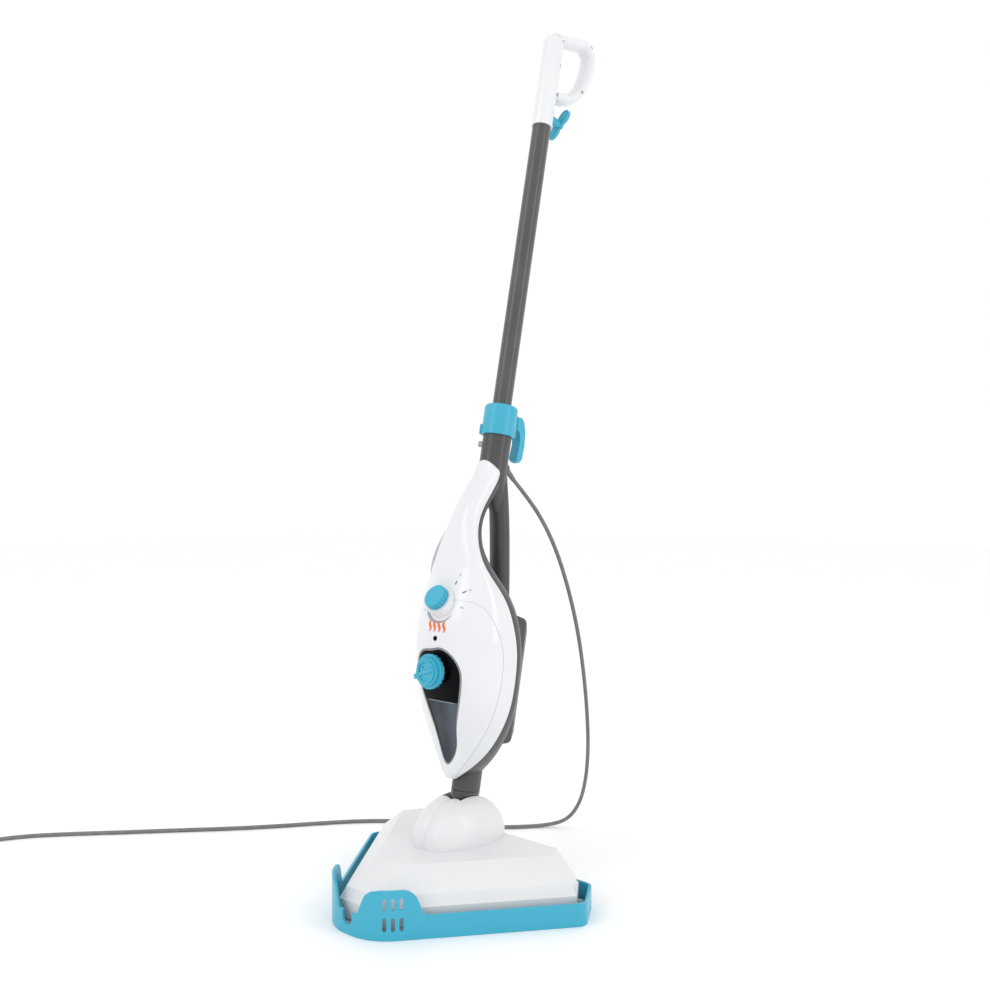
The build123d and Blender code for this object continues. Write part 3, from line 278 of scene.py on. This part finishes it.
def surface_of(*nodes):
    """Search tree over the outer skins of some CAD nodes."""
    points = []
    faces = []
    for node in nodes:
        mesh = frame["nodes"][node].data
        first = len(points)
        points += [v.co.copy() for v in mesh.vertices]
        faces += [[first + i for i in face.vertices] for face in mesh.polygons]
    return BVHTree.FromPolygons(points, faces)


INTO_FRONT = POLE.to_3x3() @ Vector((0, 1, 0))
BEFORE_FRONT = -150           # where the search for the front starts, in front of the whole body


def lay_on(bm, tree, lift, thickness):
    """Press a flat print or painted shade, drawn across and up the pole, on the front and give it
    thickness.
    """
    for vertex in bm.verts:
        start = pole_point(vertex.co.x, BEFORE_FRONT, vertex.co.z)
        hit = tree.ray_cast(start, INTO_FRONT)[0]
        vertex.co = hit - INTO_FRONT * lift * MM
    bmesh.ops.recalc_face_normals(bm, faces=bm.faces)
    skin = bmesh.ops.extrude_face_region(bm, geom=list(bm.faces))
    raised = [v for v in skin["geom"] if isinstance(v, bmesh.types.BMVert)]
    bmesh.ops.translate(bm, vec=-INTO_FRONT * thickness * MM, verts=raised)
    bmesh.ops.recalc_face_normals(bm, faces=bm.faces)


def strip(bm, line, width):
    """Flat strip along a line of (across, up) points, tapered where width is a list."""
    widths = width if isinstance(width, list) else [width] * len(line)
    rows = []
    for i, (x, s) in enumerate(line):
        before = Vector(line[max(i - 1, 0)])
        after = Vector(line[min(i + 1, len(line) - 1)])
        side = (after - before).normalized()
        side = Vector((-side.y, side.x)) * widths[i] / 2
        rows.append([bm.verts.new((x - side.x, 0, s - side.y)), bm.verts.new((x + side.x, 0, s + side.y))])
    for first, second in zip(rows, rows[1:]):
        bm.faces.new((first[0], first[1], second[1], second[0]))


# ---------------------------------------------------------------- camera
CAMERA_AT = (0.9263, -0.8982, 0.5049)
CAMERA_RISE, CAMERA_TURN = 89.7, 42.4
CAMERA_LENS = 38.18
camera_data = bpy.data.cameras.new("camera")
camera_data.sensor_width = 36.0
camera_data.lens = CAMERA_LENS
camera = bpy.data.objects.new("camera", camera_data)
camera.location = CAMERA_AT
camera.rotation_euler = (math.radians(CAMERA_RISE), 0, math.radians(CAMERA_TURN))
bpy.context.collection.objects.link(camera)
bpy.context.scene.camera = camera

# ---------------------------------------------------------------- cord
CORD_D = 5.4
ROUTE = [
    (0, 152.8, 517.6), (3, 171, 500), (13, 194, 468), (21, 217, 424), (26, 239, 366), (26, 260, 305),
    (21, 279, 246), (14, 296, 188), (4, 312, 132), (-10, 325, 82), (-27, 332, 40), (-48, 328, 12),
    (-74, 313, 2.7), (-95, 284, 2.7), (-122, 256, 2.7), (-160, 231, 2.7), (-204, 207, 2.7),
    (-252, 178, 2.7), (-294, 140, 2.7), (-331, 92, 2.7), (-370, 36, 2.7), (-414, -20, 2.7),
    (-463, -74, 2.7), (-511, -130, 2.7), (-560, -184, 2.7), (-602, -236, 2.7), (-621, -282, 2.7),
]
COIL_X, COIL_Y = -668, -322
# The winding's radius and height at each count of turns: in, out, in and out again.
WINDING = [(0.0, 43.6, 2.7), (0.5, 41.0, 3.9), (4.0, 22.4, 3.9), (4.6, 22.6, 8.3), (7.9, 40.4, 8.3),
           (8.5, 43.2, 12.8), (12.4, 22.5, 12.8), (13.0, 23.0, 17.2), (16.4, 41.4, 17.2)]
TURN_POINTS = 14
LAY_SWAY, LAY_RATE = 0.35, 5.1   # how far the turns wander from true circles, and how often
TAIL = [(-714, -328, 14.6), (-722, -312, 11.2), (-735, -303.5, 10.2), (-744, -302, 10)]


def winding_at(turn):
    """Radius and height of the winding after a count of turns."""
    for (t0, r0, z0), (t1, r1, z1) in zip(WINDING, WINDING[1:]):
        if t0 <= turn <= t1:
            share = (turn - t0) / (t1 - t0)
            return r0 + share * (r1 - r0), z0 + share * (z1 - z0)
    return WINDING[-1][1:]


def cord_points():
    """Control points of the whole cord, in millimetres."""
    points = list(ROUTE)
    steps = round(WINDING[-1][0] * TURN_POINTS)
    for i in range(steps + 1):
        turn = i / TURN_POINTS
        radius, height = winding_at(turn)
        radius += LAY_SWAY * math.sin(LAY_RATE * turn)
        angle = -2 * math.pi * turn
        points.append((COIL_X + radius * math.cos(angle), COIL_Y + radius * math.sin(angle), height))
    return points + TAIL


def make_cord():
    curve = bpy.data.curves.new("mains_cord", "CURVE")
    curve.dimensions = "3D"
    curve.resolution_u = 6
    curve.bevel_depth = CORD_D / 2 * MM
    curve.bevel_resolution = 5
    curve.use_fill_caps = True
    points = cord_points()
    spline = curve.splines.new("NURBS")
    spline.points.add(len(points) - 1)
    for point, place in zip(spline.points, points):
        point.co = (place[0] * MM, place[1] * MM, place[2] * MM, 1)
    spline.order_u = 3
    spline.use_endpoint_u = True
    curve.materials.append(CORD_GREY)
    piece = bpy.data.objects.new("mains_cord", curve)
    bpy.context.collection.objects.link(piece)
    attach(piece, "main_body")
    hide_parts("cord_tube", "cord_tail", "cord_coil")


make_cord()


# ---------------------------------------------------------------- mop pad
PAD_STEP = 0.012              # spacing of the quilt's cuts
QUILT_RATE = 95               # waves of the quilt, in radians per metre
QUILT_LOW, QUILT_WAVE = 0.82, 0.16
RIM_SHARE = 0.25              # thickness at the pad's rim, as a share of its middle


def make_pad():
    """Soft pad under the base: a thin cushion with a quilted, uneven face and a rolled edge."""
    low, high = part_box("mop_pad")
    source = frame["nodes"]["mop_pad"].data
    bm = bmesh.new()
    bm.from_mesh(source)
    bmesh.ops.remove_doubles(bm, verts=bm.verts, dist=0.00002)
    bmesh.ops.dissolve_limit(bm, angle_limit=0.02, verts=bm.verts, edges=bm.edges)
    below_top = [f for f in bm.faces if f.normal.z < 0.9]
    bmesh.ops.delete(bm, geom=below_top, context="FACES")
    for axis, start, end in ((0, low[0], high[0]), (1, low[1], high[1])):
        count = int((end - start) / PAD_STEP)
        normal = Vector((1, 0, 0)) if axis == 0 else Vector((0, 1, 0))
        for i in range(1, count + 1):
            geometry = list(bm.verts) + list(bm.edges) + list(bm.faces)
            bmesh.ops.bisect_plane(bm, geom=geometry, plane_co=normal * (start + i * PAD_STEP),
                                   plane_no=normal)
    rim = {v for e in bm.edges if e.is_boundary for v in e.verts}
    middle = (low[2] + high[2]) / 2
    half = (high[2] - low[2]) / 2
    for v in bm.verts:
        wave = 0.5 + 0.5 * math.sin(v.co.x * QUILT_RATE) * math.sin(v.co.y * QUILT_RATE)
        v.co.z = middle + (RIM_SHARE if v in rim else QUILT_LOW + QUILT_WAVE * wave) * half
    copy = bmesh.ops.duplicate(bm, geom=list(bm.verts) + list(bm.edges) + list(bm.faces))
    under = [v for v in copy["geom"] if isinstance(v, bmesh.types.BMVert)]
    for v in under:
        v.co.z = 2 * middle - v.co.z
    bmesh.ops.reverse_faces(bm, faces=[f for f in copy["geom"] if isinstance(f, bmesh.types.BMFace)])
    edges = [e for e in bm.edges if e.is_boundary]
    bmesh.ops.bridge_loops(bm, edges=edges)
    bmesh.ops.recalc_face_normals(bm, faces=bm.faces)
    pad = new_piece("quilted_mop_pad", bm, PILE, "head")
    soften = pad.modifiers.new("soften", "SUBSURF")
    soften.levels = 1
    soften.render_levels = 1
    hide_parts("mop_pad")


make_pad()

# ---------------------------------------------------------------- prints and painted shade on the front
front = surface_of("front_shell", "dial_ring", "window_top", "window_lens")


def print_and_shade_on_front(name, lines, width, finish, lift=0.05, thickness=0.25):
    """Printed or inlaid marks, and painted shade, along lines of (across, up) points in millimetres."""
    bm = bmesh.new()
    for line in lines:
        strip(bm, line, width)
    lay_on(bm, front, lift, thickness)
    return new_piece(name, bm, finish, "main_body")


def dash(x, s, angle, length):
    """Short line about a point, at an angle up from across."""
    dx = math.cos(math.radians(angle)) * length / 2
    ds = math.sin(math.radians(angle)) * length / 2
    return [(x - dx, s - ds), (x, s), (x + dx, s + ds)]


print_and_shade_on_front("dial_marks_dark", [dash(16, 387, 66, 4.6), dash(30.5, 376.5, 30, 5)], 1.7, PRINT_GREY)
print_and_shade_on_front("dial_marks_faint", [dash(20, 397, 66, 3), dash(37, 380, 30, 3), dash(32, 357, -4, 5),
                                    dash(-30, 350, 6, 3)], 1.3, PRINT_FAINT)


WISP_STEPS = 12


def swirl(x, s, height, sway):
    """Wavy upright line, as rising steam is drawn."""
    shares = [i / WISP_STEPS for i in range(WISP_STEPS + 1)]
    return [(x + sway * math.sin(share * 2 * math.pi), s + (share - 0.5) * height) for share in shares]


SYMBOL_S, WISP_H, WISP_SWAY = 331, 13.5, 1.6
wisps = [swirl(x, SYMBOL_S, WISP_H, WISP_SWAY) for x in (-12, -4, 4, 12)]
wisp_widths = [1.2 + 2.6 * math.sin(math.pi * i / WISP_STEPS) for i in range(WISP_STEPS + 1)]
print_and_shade_on_front("steam_symbol", wisps, wisp_widths, PRINT_ORANGE)

# Painted shade: a grey crescent, thick at lower left and tapering round the bottom, stands for the shade
# inside the recess round the dial ring.
DIAL_S, CRESCENT_R = 360, 24.0
CRESCENT_FROM, CRESCENT_TURN, CRESCENT_STEPS = 200, 125, 24
crescent = []
crescent_widths = []
for i in range(CRESCENT_STEPS + 1):
    share = i / CRESCENT_STEPS
    angle = math.radians(CRESCENT_FROM + CRESCENT_TURN * share)
    crescent.append((CRESCENT_R * math.cos(angle), DIAL_S + CRESCENT_R * math.sin(angle)))
    crescent_widths.append(5.2 * (1 - share) ** 0.8 + 0.4)
print_and_shade_on_front("painted_shade_crescent", [crescent], crescent_widths, PRINT_AND_SHADE_GREY)

WATER_MARK_S = 240.6
print_and_shade_on_front("water_mark", [[(x, WATER_MARK_S) for x in range(-22, 23, 4)]], 0.8, PRINT_AND_SHADE_GREY)


THREAD_R, THREAD_WIRE = 15.6, 0.8


def filler_threads():
    """Two clear thread rings round the filler, between the cap and the black panel."""
    seat = next(j for j in frame["joints"] if j["name"] == "cap_turn")
    turn = Vector(seat["axis"]).to_track_quat("Z", "Y").to_matrix().to_4x4()
    bm = bmesh.new()
    for height in (-0.9, -3.1):
        verts = bmesh.ops.create_circle(bm, cap_ends=False, radius=THREAD_WIRE * MM, segments=10)["verts"]
        bmesh.ops.rotate(bm, verts=verts, cent=(0, 0, 0), matrix=Matrix.Rotation(math.pi / 2, 3, "X"))
        bmesh.ops.translate(bm, verts=verts, vec=(THREAD_R * MM, 0, height * MM))
        edges = list({edge for vertex in verts for edge in vertex.link_edges})
        bmesh.ops.spin(bm, geom=verts + edges, cent=(0, 0, 0), axis=(0, 0, 1), angle=2 * math.pi, steps=64,
                       use_merge=True)
    bmesh.ops.remove_doubles(bm, verts=bm.verts, dist=0.00001)
    bmesh.ops.recalc_face_normals(bm, faces=bm.faces)
    bm.transform(Matrix.Translation(seat["pos_m"]) @ turn)
    return new_piece("filler_threads", bm, THREAD, "main_body")


filler_threads()

# ---------------------------------------------------------------- floor and light
FLOOR_HALF = 9
FLOOR_DROP = 0.0002           # keeps the floor clear of the pieces that rest on it
floor_mesh = bmesh.new()
bmesh.ops.create_grid(floor_mesh, x_segments=1, y_segments=1, size=FLOOR_HALF)
bmesh.ops.translate(floor_mesh, vec=(0, 0, -FLOOR_DROP), verts=floor_mesh.verts)
floor_data = bpy.data.meshes.new("floor")
floor_mesh.to_mesh(floor_data)
floor_mesh.free()
floor_finish = Finish("pale floor")
floor_finish.tint(floor_finish.noise(3.0), (0.982, 0.983, 0.984), (0.988, 0.989, 0.990))
floor_finish.put(Roughness=0.6, Specular_IOR_Level=0.2)
floor_data.materials.append(floor_finish.material)
floor = bpy.data.objects.new("floor", floor_data)
bpy.context.collection.objects.link(floor)

SKY_STRENGTH = 1.01
world = bpy.data.worlds.new("studio")
world.use_nodes = True
world.node_tree.nodes["Background"].inputs["Color"].default_value = (1, 1, 1, 1)
world.node_tree.nodes["Background"].inputs["Strength"].default_value = SKY_STRENGTH
bpy.context.scene.world = world
bpy.context.scene.view_settings.view_transform = "Standard"


BODY_MIDDLE = (0, 0, 0.5)


def soft_box(name, place, size, power):
    """Large soft lamp turned towards the middle of the mop."""
    lamp = bpy.data.lights.new(name, "AREA")
    lamp.shape = "RECTANGLE"
    lamp.size, lamp.size_y = size
    lamp.energy = power
    holder = bpy.data.objects.new(name, lamp)
    holder.location = place
    holder.rotation_euler = (Vector(BODY_MIDDLE) - Vector(place)).to_track_quat("-Z", "Y").to_euler()
    bpy.context.collection.objects.link(holder)


soft_box("key", (-0.6, -2.4, 2.2), (1.2, 1.8), 12)
soft_box("side", (2.4, 0.6, 1.2), (0.5, 2.0), 8)
